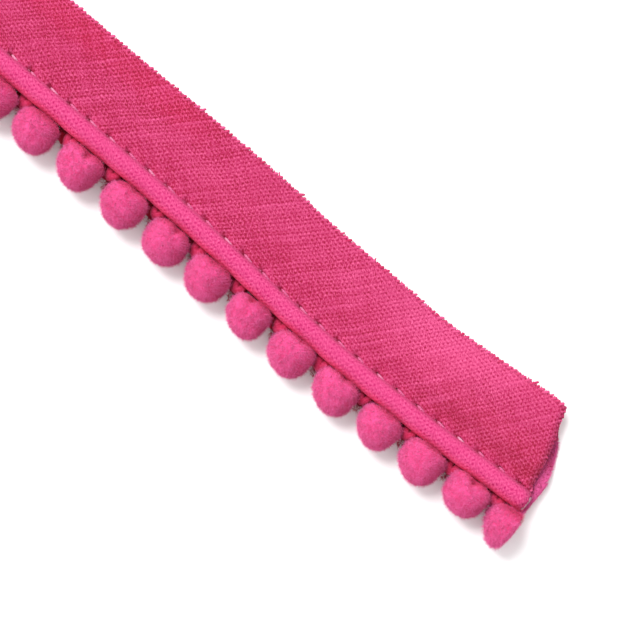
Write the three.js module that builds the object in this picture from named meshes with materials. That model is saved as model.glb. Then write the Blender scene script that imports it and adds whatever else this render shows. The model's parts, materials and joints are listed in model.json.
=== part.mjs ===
// Pompom trim: a strip of bias-cut cloth folded round a filler cord to make a
// piping, with a braid of small pompoms sewn under it so that they stand out
// past the piping. Millimetres, +Z up, lying on its back. +X runs along the
// trim towards its scissored end, +Y from the piping towards the raw edges.

import * as THREE from 'three';
import { mergeVertices } from 'three/addons/utils/BufferGeometryUtils.js';

// Driving dimensions

const trimLength = 116.4;        // plain cut at one end to scissor cut at the other
const clothThick = 1.0;
const pieceGap = 0.3;            // clearance between touching pieces
const facetAllowance = 0.06;     // kept clear as well, where flat facets cross a hollow
const pipingRadius = 1.8;        // outside of the cloth round the cord
const pipingInset = 1.5;         // seam line to the middle of the piping
const braidThick = 1.0;
const braidEdge = 2.1;           // seam line to the braid's pompom edge
const braidWidth = 4.0;
const nubReach = 1.8;            // braid loops between the pompoms
const nubHalfWidth = 0.48;
const pompomRadius = 3.0;
const pompomRestHeight = 2.65;   // middle of a pompom above the surface it lies on
const pompomInset = 5.15;        // seam line to the middle of a pompom
const pompomLumps = 0.05;        // how far a pompom is out of round
const pompomPitch = 6.62;
const pompomCount = 18;
const pompomStart = 0.36;        // the row of pompoms starts this far inside the scissor cut
const pompomDrift = 0.15;        // most that a pompom strays from even spacing
const driftCycle = 5;            // pompoms in one turn of that straying
const driftStart = 2.2;
const cutPompomInset = 0.8;      // middle of the cut pompom inside the scissor cut
const cordShort = 0.7;           // cord's end inside the scissor cut
const braidShort = 0.6;
const lowerFlangeShort = 0.3;    // lower raw edge inside the upper one
const rampStart = 2.2;           // where the lower layer comes down off the braid, from the seam
const rampEnd = 5.6;
const rampLag = 0.6;             // the upper layer comes down this much further out
const joinAngle = THREE.MathUtils.degToRad(50);   // where the upper layer meets the piping
const shoulderEnd = 1.2;         // where the upper layer has levelled out, from the seam
const crestFall = 0.55;          // share of the flange over which a puff dies away

// How the trim lies. along: from the middle of the trim. seam: sideways drift
// of the seam line. flange: seam to raw edge. puff: rise of the upper layer
// off the lower one. crest: where the puff is highest, as a share of the flange.
const lie = [
  { along: -58.2, seam: 0.32, flange: 9.6, puff: 0.0, crest: 0.5 },
  { along: -40.0, seam: 0.42, flange: 9.5, puff: 0.0, crest: 0.5 },
  { along: -21.3, seam: 0.47, flange: 9.4, puff: 0.0, crest: 0.5 },
  { along: -11.9, seam: 0.47, flange: 9.3, puff: 0.0, crest: 0.5 },
  { along: 0.0, seam: 0.35, flange: 9.45, puff: 0.0, crest: 0.5 },
  { along: 11.7, seam: -0.06, flange: 9.65, puff: 0.05, crest: 0.5 },
  { along: 18.7, seam: -0.47, flange: 9.65, puff: 0.1, crest: 0.45 },
  { along: 28.1, seam: -0.85, flange: 10.0, puff: 0.2, crest: 0.4 },
  { along: 36.3, seam: -0.82, flange: 9.8, puff: 0.5, crest: 0.42 },
  { along: 44.6, seam: -0.6, flange: 10.25, puff: 1.0, crest: 0.67 },
  { along: 51.6, seam: -0.18, flange: 10.4, puff: 1.25, crest: 0.88 },
  { along: 58.2, seam: 0.05, flange: 10.4, puff: 1.35, crest: 0.95 },
];

// How far each layer stops short of the scissor cut. across: from the seam
// towards the raw edge, so the piping is at the negative end.
const scissoredEnd = [
  { across: -3.3, upper: 1.3, lower: 1.3 },
  { across: -1.5, upper: 0.9, lower: 0.65 },
  { across: 0.0, upper: 1.6, lower: 0.5 },
  { across: 2.0, upper: 1.95, lower: 0.7 },
  { across: 4.0, upper: 2.3, lower: 1.45 },
  { across: 6.0, upper: 2.6, lower: 2.6 },
  { across: 8.0, upper: 3.4, lower: 3.7 },
  { across: 10.4, upper: 4.6, lower: 4.9 },
];

// How finely the faceted surfaces are cut

const clothStations = 30;
const flangeSteps = 7;
const wrapSteps = 10;
const lowerSteps = 7;
const cordSides = 10;
const nubStations = [-1, -0.85, -0.45, 0, 0.45, 0.85, 1];
const pompomSegments = 14;
const pompomRings = 9;

// Heights worked out from the dimensions above

const middleRadius = pipingRadius - clothThick / 2;
const cordRadius = pipingRadius - clothThick - pieceGap;
const lowerOnBraid = braidThick + pieceGap + clothThick / 2;
const lowerOnSurface = clothThick / 2;
const layerPitch = clothThick + pieceGap;
const pipingHeight = braidThick + pieceGap + pipingRadius;
const joinAcross = -pipingInset + middleRadius * Math.cos(joinAngle);
const joinHeight = pipingHeight + middleRadius * Math.sin(joinAngle);
const cutLine = trimLength / 2;

// Curve through two values with given slopes, t running 0 to 1.
function hermite(from, to, slopeFrom, slopeTo, t) {
  const t2 = t * t;
  const t3 = t2 * t;
  const ends = from * (2 * t3 - 3 * t2 + 1) + to * (3 * t2 - 2 * t3);
  return ends + slopeFrom * (t3 - 2 * t2 + t) + slopeTo * (t3 - t2);
}

// Smooth curve through one column of a table, read at a place in another.
function readTable(table, placeColumn, column, place) {
  const last = table.length - 1;
  const found = table.findIndex((row) => row[placeColumn] >= place);
  const high = found < 0 ? last : Math.max(found, 1);
  const slopeAt = (i) => {
    const before = table[Math.max(i - 1, 0)];
    const after = table[Math.min(i + 1, last)];
    return (after[column] - before[column]) / (after[placeColumn] - before[placeColumn]);
  };
  const low = high - 1;
  const span = table[high][placeColumn] - table[low][placeColumn];
  const t = THREE.MathUtils.clamp((place - table[low][placeColumn]) / span, 0, 1);
  const slopes = [slopeAt(low) * span, slopeAt(high) * span];
  return hermite(table[low][column], table[high][column], ...slopes, t);
}

function lieAt(along, column) {
  return readTable(lie, 'along', column, along);
}

// How much of the drop from the braid down to the surface is still to come.
function rampLeft(across) {
  return 1 - THREE.MathUtils.smoothstep(across, rampStart, rampEnd);
}

// Rise of the upper layer: it swells to the crest, then dies away past it.
function puffAt(along, share) {
  const crest = lieAt(along, 'crest');
  const quarter = Math.PI / 2;
  const rising = Math.sin(quarter * Math.min(share / crest, 1));
  const falling = Math.cos(quarter * THREE.MathUtils.clamp((share - crest) / crestFall, 0, 1)) ** 2;
  return lieAt(along, 'puff') * (share < crest ? rising : falling);
}

// Height of the lower layer's middle surface.
function lowerHeight(across) {
  return lowerOnSurface + (lowerOnBraid - lowerOnSurface) * rampLeft(across);
}

// Height of the upper layer's middle surface: off the side of the piping,
// level over the braid, then down beside the lower layer.
function upperHeight(along, across, flange) {
  const level = lowerHeight(across - rampLag) + layerPitch;
  const puff = puffAt(along, Math.max(across, 0) / flange);
  if (across >= shoulderEnd) {
    return level + puff;
  }
  const span = shoulderEnd - joinAcross;
  const slope = -span / Math.tan(joinAngle);
  const t = (across - joinAcross) / span;
  return hermite(joinHeight, level, slope, 0, t) + puff;
}

// The strip's section, from the upper raw edge round the cord to the lower
// raw edge. Each step gives a point for a flange width and a place along.
function clothSteps() {
  const steps = [];
  for (let i = 0; i < flangeSteps; i += 1) {
    const share = 1 - i / flangeSteps;
    const acrossAt = (flange) => shoulderEnd + share * (flange - shoulderEnd);
    steps.push({ layer: 'upper', acrossAt });
  }
  for (const share of [1, 0.5]) {
    steps.push({ layer: 'upper', acrossAt: () => joinAcross + share * (shoulderEnd - joinAcross) });
  }
  for (let i = 0; i <= wrapSteps; i += 1) {
    const angle = joinAngle + (i / wrapSteps) * (1.5 * Math.PI - joinAngle);
    const layer = angle < Math.PI ? 'upper' : 'lower';
    steps.push({ layer, angle, acrossAt: () => -pipingInset + middleRadius * Math.cos(angle) });
  }
  for (const across of [0, rampStart]) {
    steps.push({ layer: 'lower', acrossAt: () => across });
  }
  for (let i = 1; i <= lowerSteps; i += 1) {
    const share = i / lowerSteps;
    const reach = (flange) => flange - lowerFlangeShort - rampStart;
    steps.push({ layer: 'lower', acrossAt: (flange) => rampStart + share * reach(flange) });
  }
  return steps;
}

// A point of the strip's middle surface, share running 0 to 1 along the trim.
function clothPoint(step, share) {
  const farAcross = step.acrossAt(lieAt(cutLine, 'flange'));
  const end = cutLine - readTable(scissoredEnd, 'across', step.layer, farAcross);
  const along = THREE.MathUtils.lerp(-cutLine, end, share);
  const flange = lieAt(along, 'flange');
  const across = step.acrossAt(flange);
  let height = lowerHeight(across);
  if (step.angle !== undefined) {
    height = pipingHeight + middleRadius * Math.sin(step.angle);
  } else if (step.layer === 'upper') {
    height = upperHeight(along, across, flange);
  }
  return new THREE.Vector3(along, lieAt(along, 'seam') + across, height);
}

// One closed ring of the strip: its outside, then its inside coming back.
function clothRing(steps, share) {
  const middle = steps.map((step) => clothPoint(step, share));
  const sides = middle.map((point, i) => {
    const before = middle[Math.max(i - 1, 0)];
    const after = middle[Math.min(i + 1, middle.length - 1)];
    const outward = new THREE.Vector3(0, after.z - before.z, before.y - after.y);
    outward.setLength(clothThick / 2);
    return [point.clone().add(outward), point.clone().sub(outward)];
  });
  const outside = sides.map((pair) => pair[0]);
  const inside = sides.map((pair) => pair[1]).reverse();
  return [...outside, ...inside];
}

// A closed skin over rings of equal, even length, each counter-clockwise when
// seen from its +X side. Both ends are capped like a ladder, with rungs from
// the first half of the ring across to the second.
function skin(rings) {
  const size = rings[0].length;
  const indices = [];
  for (let i = 0; i + 1 < rings.length; i += 1) {
    for (let j = 0; j < size; j += 1) {
      const a = i * size + j;
      const b = i * size + ((j + 1) % size);
      indices.push(a, b, b + size, a, b + size, a + size);
    }
  }
  const lastRing = (rings.length - 1) * size;
  for (let a = 0; a + 1 < size / 2; a += 1) {
    const [b, c, d] = [a + 1, size - 2 - a, size - 1 - a];
    indices.push(a, c, b, a, d, c);
    indices.push(lastRing + a, lastRing + b, lastRing + c);
    indices.push(lastRing + a, lastRing + c, lastRing + d);
  }
  const geometry = new THREE.BufferGeometry().setFromPoints(rings.flat());
  geometry.setIndex(indices);
  geometry.computeVertexNormals();
  return geometry;
}

function biasStrip() {
  const steps = clothSteps();
  const rings = [];
  for (let i = 0; i <= clothStations; i += 1) {
    rings.push(clothRing(steps, i / clothStations));
  }
  return skin(rings);
}

function fillerCord() {
  const rings = [];
  for (let i = 0; i <= clothStations; i += 1) {
    const along = THREE.MathUtils.lerp(-cutLine, cutLine - cordShort, i / clothStations);
    const middle = lieAt(along, 'seam') - pipingInset;
    const ring = [];
    for (let side = 0; side < cordSides; side += 1) {
      const angle = (side / cordSides) * 2 * Math.PI;
      const y = middle + cordRadius * Math.cos(angle);
      const z = pipingHeight + cordRadius * Math.sin(angle);
      ring.push(new THREE.Vector3(along, y, z));
    }
    rings.push(ring);
  }
  return skin(rings);
}

// Middle of a pompom along the trim, counted from the scissored end. The
// spacing drifts a little, as it does on a knotted braid.
function pompomAlong(number) {
  if (number === 0) {
    return cutLine - cutPompomInset;
  }
  const drift = pompomDrift * Math.sin((2 * Math.PI * (number - driftStart)) / driftCycle);
  return cutLine - pompomStart - number * pompomPitch + drift;
}

// A flat tape with a small loop standing out midway between the pompoms.
function pompomBraid() {
  const places = [{ along: -cutLine, reach: 0 }];
  for (let number = pompomCount - 1; number > 0; number -= 1) {
    places.push({ along: pompomAlong(number), reach: 0 });
    const middle = (pompomAlong(number) + pompomAlong(number - 1)) / 2;
    for (const share of nubStations) {
      const reach = nubReach * Math.sqrt(1 - share * share);
      places.push({ along: middle + share * nubHalfWidth, reach });
    }
  }
  places.push({ along: cutLine - braidShort, reach: 0 });
  const rings = places.map(({ along, reach }) => {
    const front = lieAt(along, 'seam') - braidEdge - reach;
    const back = lieAt(along, 'seam') - braidEdge + braidWidth;
    const corners = [[front, 0], [back, 0], [back, braidThick], [front, braidThick]];
    return corners.map(([y, z]) => new THREE.Vector3(along, y, z));
  });
  return skin(rings);
}

// Distance from a pompom's middle, in one direction, to the hollow that the
// piping presses into it: the piping's own round with its clearance, and
// straight up from its widest point.
function reachToPiping(direction) {
  if (direction.y <= 0) {
    return Infinity;
  }
  const hollow = pipingRadius + pieceGap + facetAllowance;
  const side = pompomInset - pipingInset;
  const above = pipingHeight - pompomRestHeight;
  const straight = (side - hollow) / direction.y;
  if (direction.z * straight >= above) {
    return straight;
  }
  const flat = Math.hypot(direction.y, direction.z);
  const nearest = (side * direction.y + above * direction.z) / flat;
  const missed = side * side + above * above - nearest * nearest;
  if (missed >= hollow * hollow) {
    return Infinity;
  }
  return (nearest - Math.sqrt(hollow * hollow - missed)) / flat;
}

// A soft ball with a flat spot where it lies and a hollow against the piping.
// The one at the scissored end is cut off flat.
function pompom(number) {
  const geometry = new THREE.SphereGeometry(1, pompomSegments, pompomRings);
  geometry.rotateX(Math.PI / 2);
  geometry.deleteAttribute('normal');
  geometry.deleteAttribute('uv');
  const merged = mergeVertices(geometry);
  const along = pompomAlong(number);
  const middle = new THREE.Vector3(along, lieAt(along, 'seam') - pompomInset, pompomRestHeight);
  const points = merged.getAttribute('position');
  const direction = new THREE.Vector3();
  for (let i = 0; i < points.count; i += 1) {
    direction.fromBufferAttribute(points, i).normalize();
    const lumps = pompomLumps * Math.sin(3 * direction.x + 2 * direction.y + number);
    const toSurface = direction.z < 0 ? pompomRestHeight / -direction.z : Infinity;
    const toCut = number === 0 && direction.x > 0 ? cutPompomInset / direction.x : Infinity;
    const radius = Math.min(pompomRadius + lumps, toSurface, toCut, reachToPiping(direction));
    direction.multiplyScalar(radius).add(middle);
    points.setXYZ(i, direction.x, direction.y, direction.z);
  }
  merged.computeVertexNormals();
  return merged;
}

const finishes = {
  cloth: new THREE.MeshStandardMaterial({ color: 0xdc4a7a, roughness: 0.9, metalness: 0 }),
  filler: new THREE.MeshStandardMaterial({ color: 0xf4dce4, roughness: 0.95, metalness: 0 }),
  braid: new THREE.MeshStandardMaterial({ color: 0xd0366c, roughness: 0.95, metalness: 0 }),
  pile: new THREE.MeshStandardMaterial({ color: 0xf25a9a, roughness: 1, metalness: 0 }),
};

function piece(name, geometry, finish) {
  const mesh = new THREE.Mesh(geometry, finish);
  mesh.name = name;
  return mesh;
}

const trim = new THREE.Group();
trim.add(piece('bias_strip', biasStrip(), finishes.cloth));
trim.add(piece('filler_cord', fillerCord(), finishes.filler));
trim.add(piece('pompom_braid', pompomBraid(), finishes.braid));
for (let number = 0; number < pompomCount; number += 1) {
  const name = `pompom_${String(number + 1).padStart(2, '0')}`;
  trim.add(piece(name, pompom(number), finishes.pile));
}

// The origin goes under the middle of the whole trim.
const whole = new THREE.Box3().setFromObject(trim);
const centre = whole.getCenter(new THREE.Vector3());
trim.position.set(-centre.x, -centre.y, -whole.min.z);

export default trim;
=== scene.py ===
# Pompom trim: bias cloth folded round a filler cord to make a piping, with a
# braid of small pompoms sewn under it. Sizes are in millimetres from the seam
# line: +X runs to the scissored end, +Y to the raw edges, +Z up.
import functools
import json
import math

import bpy
import numpy as np
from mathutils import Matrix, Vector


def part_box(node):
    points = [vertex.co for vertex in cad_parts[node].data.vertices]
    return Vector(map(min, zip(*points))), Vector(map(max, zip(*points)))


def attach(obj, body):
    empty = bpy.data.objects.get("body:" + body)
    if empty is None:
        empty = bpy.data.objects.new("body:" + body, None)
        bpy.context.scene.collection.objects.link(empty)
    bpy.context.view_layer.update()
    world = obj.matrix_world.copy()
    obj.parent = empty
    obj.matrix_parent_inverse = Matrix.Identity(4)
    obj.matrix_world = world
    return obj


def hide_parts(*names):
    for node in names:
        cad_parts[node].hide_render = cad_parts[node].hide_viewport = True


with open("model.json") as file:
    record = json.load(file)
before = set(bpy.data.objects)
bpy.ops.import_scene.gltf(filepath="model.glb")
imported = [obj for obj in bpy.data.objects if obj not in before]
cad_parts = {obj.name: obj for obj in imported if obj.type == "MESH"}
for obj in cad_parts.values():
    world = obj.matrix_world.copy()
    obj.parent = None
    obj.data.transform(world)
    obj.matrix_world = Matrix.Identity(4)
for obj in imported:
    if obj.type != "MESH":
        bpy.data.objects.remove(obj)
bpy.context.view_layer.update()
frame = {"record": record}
mm = 0.001

# The mount on the back lies 7.3 mm out from the seam, at the middle of the
# trim, where the seam has drifted by 0.35.
backMount = next(m for m in frame["record"]["mounts"] if m["name"] == "seam_allowance_back")
shiftY = backMount["pos_m"][1] / mm - (0.35 + 7.3)
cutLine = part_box("pompom_01")[1][0] / mm

# How the trim lies: sideways drift of the seam, seam to raw edge, rise of the
# upper layer off the lower one, and the share of the flange where it is highest.
lie = {
    "along": [-58.2, -40.0, -21.3, -11.9, 0.0, 11.7, 18.7, 28.1, 36.3, 44.6, 51.6, 58.2],
    "seam": [0.32, 0.42, 0.47, 0.47, 0.35, -0.06, -0.47, -0.85, -0.82, -0.6, -0.18, 0.05],
    "flange": [9.6, 9.5, 9.4, 9.3, 9.45, 9.65, 9.65, 10.0, 9.8, 10.25, 10.4, 10.4],
    "puff": [0.0, 0.0, 0.0, 0.0, 0.0, 0.05, 0.1, 0.2, 0.5, 1.0, 1.25, 1.35],
    "crest": [0.5, 0.5, 0.5, 0.5, 0.5, 0.5, 0.45, 0.4, 0.42, 0.67, 0.88, 0.95],
}

# How far each layer stops short of the scissor cut.
scissoredEnd = {
    "across": [-3.3, -1.6, 0.0, 2.0, 4.0, 6.0, 8.0, 10.4],
    "upper": [1.6, 1.2, 1.75, 2.2, 2.6, 3.15, 3.95, 4.65],
    "lower": [1.0, 0.75, 0.7, 0.85, 1.45, 2.45, 3.8, 5.1],
}


# Smooth curve through one column of a table: a cubic between neighbouring
# rows, whose slope at each row is that of the line through the rows beside it.
def readTable(table, placeColumn, column, place):
    places, values = np.array(table[placeColumn]), np.array(table[column])
    before = np.maximum(np.arange(len(places)) - 1, 0)
    after = np.minimum(np.arange(len(places)) + 1, len(places) - 1)
    slopes = (values[after] - values[before]) / (places[after] - places[before])
    place = np.clip(place, places[0], places[-1])
    high = np.clip(np.searchsorted(places, place), 1, len(places) - 1)
    low = high - 1
    span = places[high] - places[low]
    t = (place - places[low]) / span
    return hermite(values[low], values[high], slopes[low] * span, slopes[high] * span, t)


# Cubic from one value to another, t from 0 to 1, with a slope at each end.
def hermite(start, end, slopeStart, slopeEnd, t):
    t2, t3 = t * t, t * t * t
    ends = start * (2 * t3 - 3 * t2 + 1) + end * (3 * t2 - 2 * t3)
    return ends + slopeStart * (t3 - 2 * t2 + t) + slopeEnd * (t3 - t2)


# 0 below low and 1 above high, with the cubic 3tt - 2ttt between them.
def smoothStep(value, low, high):
    t = np.clip((value - low) / (high - low), 0, 1)
    return t * t * (3 - 2 * t)


# A bell curve: 1 at 0, and about a third where the value is the width.
def bell(value, width):
    return np.exp(-((value / width) ** 2))


# One column of the table of how the trim lies, at places along it.
def lieAt(along, column):
    return readTable(lie, "along", column, along)


# How far points are from the seam line, positive towards the raw edges.
def seamY(points):
    return points[..., 1] - lieAt(points[..., 0], "seam")


def merge(*arrays, axis=0):
    return np.concatenate(arrays, axis=axis)


def unit(vectors):
    return vectors / np.linalg.norm(vectors, axis=-1, keepdims=True)


# One random draw for each axis, given as its kind and two numbers.
def draws(count, *axes):
    return np.stack([draw(first, second, count) for draw, first, second in axes], -1)


# How far a layer stops short of the scissor cut, by distance from the seam.
def shortAt(across, layer):
    return readTable(scissoredEnd, "across", layer, across)


# Points at a distance across from the seam line, which drifts along the trim.
def fromSeam(along, across, height):
    return np.stack(np.broadcast_arrays(along, lieAt(along, "seam") + across, height), -1)


# Soft unevenness, mostly between -1 and 1: the mean of sine waves in scattered
# directions, whose length is about the given size.
def ripple(points, size, seed):
    waves = 20
    chance = np.random.default_rng(seed)
    directions = unit(chance.normal(size=(waves, points.shape[-1])))
    lengths = size * chance.uniform(0.7, 1.5, waves)
    phases = points @ (directions * (2 * np.pi / lengths[:, None])).T
    return np.sin(phases + chance.uniform(0, 2 * np.pi, waves)).mean(-1) * math.sqrt(waves / 3)


def addObject(name, data):
    made = bpy.data.objects.new(name, data)
    bpy.context.scene.collection.objects.link(made)
    return made


# Makes a piece from parts, each with its points and a list of face arrays, one
# for each number of corners. Values are numbers kept at the points for the
# material. With flat on, triangles keep their facets and larger faces are smooth.
def makePiece(name, parts, material, slot, threads=None, flat=False, **values):
    points = np.concatenate([part[0] for part in parts])
    firsts = np.cumsum([0] + [len(part[0]) for part in parts])
    faces = [face + first for part, first in zip(parts, firsts) for face in part[1]]
    mesh = bpy.data.meshes.new(name)
    corners = np.concatenate([face.ravel() for face in faces]).astype(np.int32)
    sizes = np.concatenate([np.full(len(face), face.shape[1]) for face in faces])
    starts = np.concatenate([[0], np.cumsum(sizes)[:-1]]).astype(np.int32)
    mesh.vertices.add(len(points))
    mesh.vertices.foreach_set("co", ((points + [0, shiftY, 0]) * mm).astype(np.float32).ravel())
    mesh.loops.add(len(corners))
    mesh.loops.foreach_set("vertex_index", corners)
    mesh.polygons.add(len(sizes))
    mesh.polygons.foreach_set("loop_start", starts)
    mesh.polygons.foreach_set("use_smooth", sizes > 3 if flat else np.ones(len(sizes), bool))
    if threads is not None:
        layer = mesh.uv_layers.new(name="threads")
        layer.data.foreach_set("uv", threads[corners].astype(np.float32).ravel())
    for key, value in values.items():
        attribute = mesh.attributes.new(key, "FLOAT", "POINT")
        attribute.data.foreach_set("value", np.asarray(value, np.float32))
    mesh.update(calc_edges=True)
    mesh.materials.append(material)
    piece = addObject(name, mesh)
    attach(piece, "root")
    return piece


# Faces of a skin over rings that run anticlockwise seen from the far end.
def skinFaces(rings, size):
    i, j = np.arange(rings - 1)[:, None], np.arange(size)[None, :]
    a, b = i * size + j, i * size + (j + 1) % size
    return np.stack([a, b, b + size, a + size], -1).reshape(-1, 4)


# A flat strip's skin over its sections, with caps like ladders, whose rungs run
# from the first half of a section to the second.
def stripSurface(sections):
    count, size = sections.shape[:2]
    a = np.arange(size // 2 - 1)
    cap = np.stack([a, size - 1 - a, size - 2 - a, a + 1], -1)
    faces = [skinFaces(count, size), cap, cap[:, ::-1] + (count - 1) * size]
    return sections.reshape(-1, 3), faces


# Skins over rings, tubes x rings x sides x 3, whose ends are closed.
def ringSurfaces(rings):
    tubes, count, sides = rings.shape[:3]
    offsets = (np.arange(tubes) * count * sides)[:, None, None]
    walls = (skinFaces(count, sides)[None] + offsets).reshape(-1, 4)
    cap = np.arange(sides)
    caps = np.stack([cap[::-1], cap + (count - 1) * sides])[None] + offsets
    return rings.reshape(-1, 3), [walls, caps.reshape(-1, sides)]


# Tubes along many paths at once: at each point of a path, a ring square to
# it. Paths is tubes x points x 3, and radii tubes x points.
def tubeSurfaces(paths, radii, sides):
    forward = unit(np.gradient(paths, axis=1))
    upright = np.abs(forward[..., 2:]) > 0.9
    first = unit(np.cross(np.where(upright, [1.0, 0, 0], [0, 0, 1.0]), forward))
    second = np.cross(forward, first)
    turn = np.linspace(0, 2 * np.pi, sides, endpoint=False)[:, None]
    ring = first[:, :, None] * np.cos(turn) + second[:, :, None] * np.sin(turn)
    return ringSurfaces(paths[:, :, None] + ring * radii[:, :, None, None])


# Short stiff hairs from roots to tips: each is a thin pyramid on three points.
def hairSurfaces(roots, tips, width, chance):
    forward = tips - roots
    first = unit(np.cross(forward, chance.normal(size=roots.shape))) * (width / 2)
    second = unit(np.cross(forward, first)) * (width / 2)
    base = [first, -0.5 * first + 0.87 * second, -0.5 * first - 0.87 * second]
    points = np.stack([roots + corner for corner in base] + [tips], 1).reshape(-1, 3)
    triangles = np.array([[2, 1, 0], [0, 1, 3], [1, 2, 3], [2, 0, 3]])
    return points, [(triangles[None] + (np.arange(len(roots)) * 4)[:, None, None]).reshape(-1, 3)]


# A cube's six faces as square grids, pushed out to a ball of radius 1. The
# edges of neighbouring grids are welded.
def ballSurface(grid):
    step = np.tan(np.linspace(-1, 1, grid + 1) * math.pi / 4)
    a, b = [side.ravel() for side in np.meshgrid(step, step, indexing="ij")]
    one = np.ones_like(a)
    sides = [(one, a, b), (-one, b, a), (b, one, a), (a, -one, b), (a, b, one), (b, a, -one)]
    points = np.concatenate([np.stack(side, -1) for side in sides])
    i, j = np.meshgrid(np.arange(grid), np.arange(grid), indexing="ij")
    corner = (i * (grid + 1) + j).ravel()
    quad = np.stack([corner, corner + grid + 1, corner + grid + 2, corner + 1], -1)
    quads = np.concatenate([quad + side * (grid + 1) ** 2 for side in range(6)])
    kept, index = np.unique(np.round(points, 6), axis=0, return_inverse=True)
    return unit(kept), index.ravel()[quads]


# A node with its settings by name. Inputs go by number or name: numbers and
# colours are set as they are, and what comes from another node is linked.
def addNode(tree, kind, inputs, **settings):
    node = tree.nodes.new(kind)
    for key, value in settings.items():
        setattr(node, key, value)
    for key, value in inputs.items():
        if isinstance(value, (int, float, tuple)):
            node.inputs[key].default_value = value
        else:
            tree.links.new(value, node.inputs[key])
    return node


def mathNode(tree, operation, *values):
    return addNode(tree, "ShaderNodeMath", dict(enumerate(values)), operation=operation).outputs[0]


def vectorNode(tree, operation, *values):
    inputs = {i: value[:3] if isinstance(value, tuple) else value for i, value in enumerate(values)}
    return addNode(tree, "ShaderNodeVectorMath", inputs, operation=operation).outputs[0]


def mixColour(tree, factor, first, second):
    inputs = {0: factor, 6: first, 7: second}
    return addNode(tree, "ShaderNodeMix", inputs, data_type="RGBA").outputs[2]


# A colour given as it looks, 0 to 255, made into the shader's linear values.
def shade(red, green, blue):
    parts = np.array([red, green, blue]) / 255
    linear = np.where(parts <= 0.04045, parts / 12.92, ((parts + 0.055) / 1.055) ** 2.4)
    return (*(float(part) for part in linear), 1.0)


# Takes low to newLow and high to newHigh, with a soft curve between them.
def remap(tree, value, low, high, newLow, newHigh):
    inputs = dict(enumerate((value, low, high, newLow, newHigh)))
    return addNode(tree, "ShaderNodeMapRange", inputs, interpolation_type="SMOOTHSTEP").outputs[0]


def noiseNode(tree, vector, scale, detail, roughness=0.5):
    inputs = {"Vector": vector, "Scale": scale, "Detail": detail, "Roughness": roughness}
    return addNode(tree, "ShaderNodeTexNoise", inputs).outputs["Fac"]


def objectPlace(tree):
    return tree.nodes.new("ShaderNodeTexCoord").outputs["Object"]


# The cloth's and the yarns' own UV map, which counts threads.
def threadPlace(tree):
    return addNode(tree, "ShaderNodeUVMap", {}, uv_map="threads").outputs[0]


def attributeNode(tree, name):
    return addNode(tree, "ShaderNodeAttribute", {}, attribute_name=name).outputs["Fac"]


# Lays the colour of each named mask over what is there, one after another.
def layTints(tree, colour, looks, names):
    for name in names:
        colour = mixColour(tree, attributeNode(tree, name), colour, looks[name])
    return colour


def setInputs(node, values):
    for key, value in values.items():
        node.inputs[key].default_value = value


# A dull material with a soft sheen, and its node tree.
def newMaterial(name, roughness, sheen, sheenTint):
    material = bpy.data.materials.new(name)
    material.use_nodes = True
    shader = material.node_tree.nodes["Principled BSDF"]
    setInputs(shader, {"Roughness": roughness, "Specular IOR Level": 0.25})
    setInputs(shader, {"Sheen Weight": sheen, "Sheen Roughness": 0.45, "Sheen Tint": sheenTint})
    return material, material.node_tree


# Gives the shader its colour, and a bump of a depth in millimetres.
def setSurface(tree, colour, height, depth):
    shader = tree.nodes["Principled BSDF"]
    bump = addNode(tree, "ShaderNodeBump", {"Distance": depth * mm, "Height": height})
    tree.links.new(colour, shader.inputs["Base Color"])
    tree.links.new(bump.outputs["Normal"], shader.inputs["Normal"])


# Plain weave from thread counts: x counts weft yarns and y warp yarns. Each
# yarn is a round that rises and falls as a sine along its length, one way
# over even crossings and the other over odd ones, and the higher one shows.
# The pattern is painted shade in the weave's dips, dark where both yarns dip:
# a sum of cosines of the difference of the counts, which is the strongest, of
# their sum, and of the wefts alone.
def plainWeaveGroup():
    group = bpy.data.node_groups.new("plainWeave", "ShaderNodeTree")
    group.interface.new_socket(name="Threads", in_out="INPUT", socket_type="NodeSocketVector")
    for name in ("Height", "Pattern", "Chance", "Weft Tone", "Warp Tone"):
        group.interface.new_socket(name=name, in_out="OUTPUT", socket_type="NodeSocketFloat")
    source = group.nodes.new("NodeGroupInput")
    result = group.nodes.new("NodeGroupOutput")
    parts = addNode(group, "ShaderNodeSeparateXYZ", {0: source.outputs[0]})
    wefts, warps = parts.outputs[0], parts.outputs[1]
    calc = functools.partial(mathNode, group)

    def pairUp(first, second):
        return addNode(group, "ShaderNodeCombineXYZ", {0: first, 1: second}).outputs[0]

    def cosine(value, share):
        return calc("MULTIPLY", calc("COSINE", calc("MULTIPLY", value, math.pi)), share)

    yarns, tones = [], []
    for across, along, sign, crown in ((wefts, warps, 1.0, 0.45), (warps, wefts, -1.0, 0.55)):
        number = calc("FLOOR", across)
        centred = calc("MULTIPLY_ADD", calc("FRACT", across), 2.0, -1.0)
        rounded = calc("SUBTRACT", 1.0, calc("MULTIPLY", centred, centred))
        turn = calc("MULTIPLY", calc("ADD", along, number), math.pi)
        rise = calc("MULTIPLY", calc("SINE", turn), 0.35 * sign)
        yarns.append(calc("MULTIPLY_ADD", rounded, crown, rise))
        places = pairUp(calc("MULTIPLY", number, 5.37), calc("MULTIPLY", along, 0.03))
        tones.append(noiseNode(group, places, 1.0, 1.0))

    difference = cosine(calc("SUBTRACT", warps, wefts), 0.4)
    total = cosine(calc("ADD", warps, wefts), 0.25)
    rows = cosine(calc("MULTIPLY_ADD", wefts, 2.0, 0.22), 0.35)
    pattern = calc("ADD", calc("ADD", difference, total), rows)
    crossing = pairUp(calc("ROUND", wefts), calc("ROUND", warps))
    white = addNode(group, "ShaderNodeTexWhiteNoise", {"Vector": crossing}, noise_dimensions="2D")
    outputs = [calc("MAXIMUM", *yarns), pattern, white.outputs["Value"], *tones]
    for value, socket in zip(outputs, result.inputs):
        group.links.new(value, socket)
    return group
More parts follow.
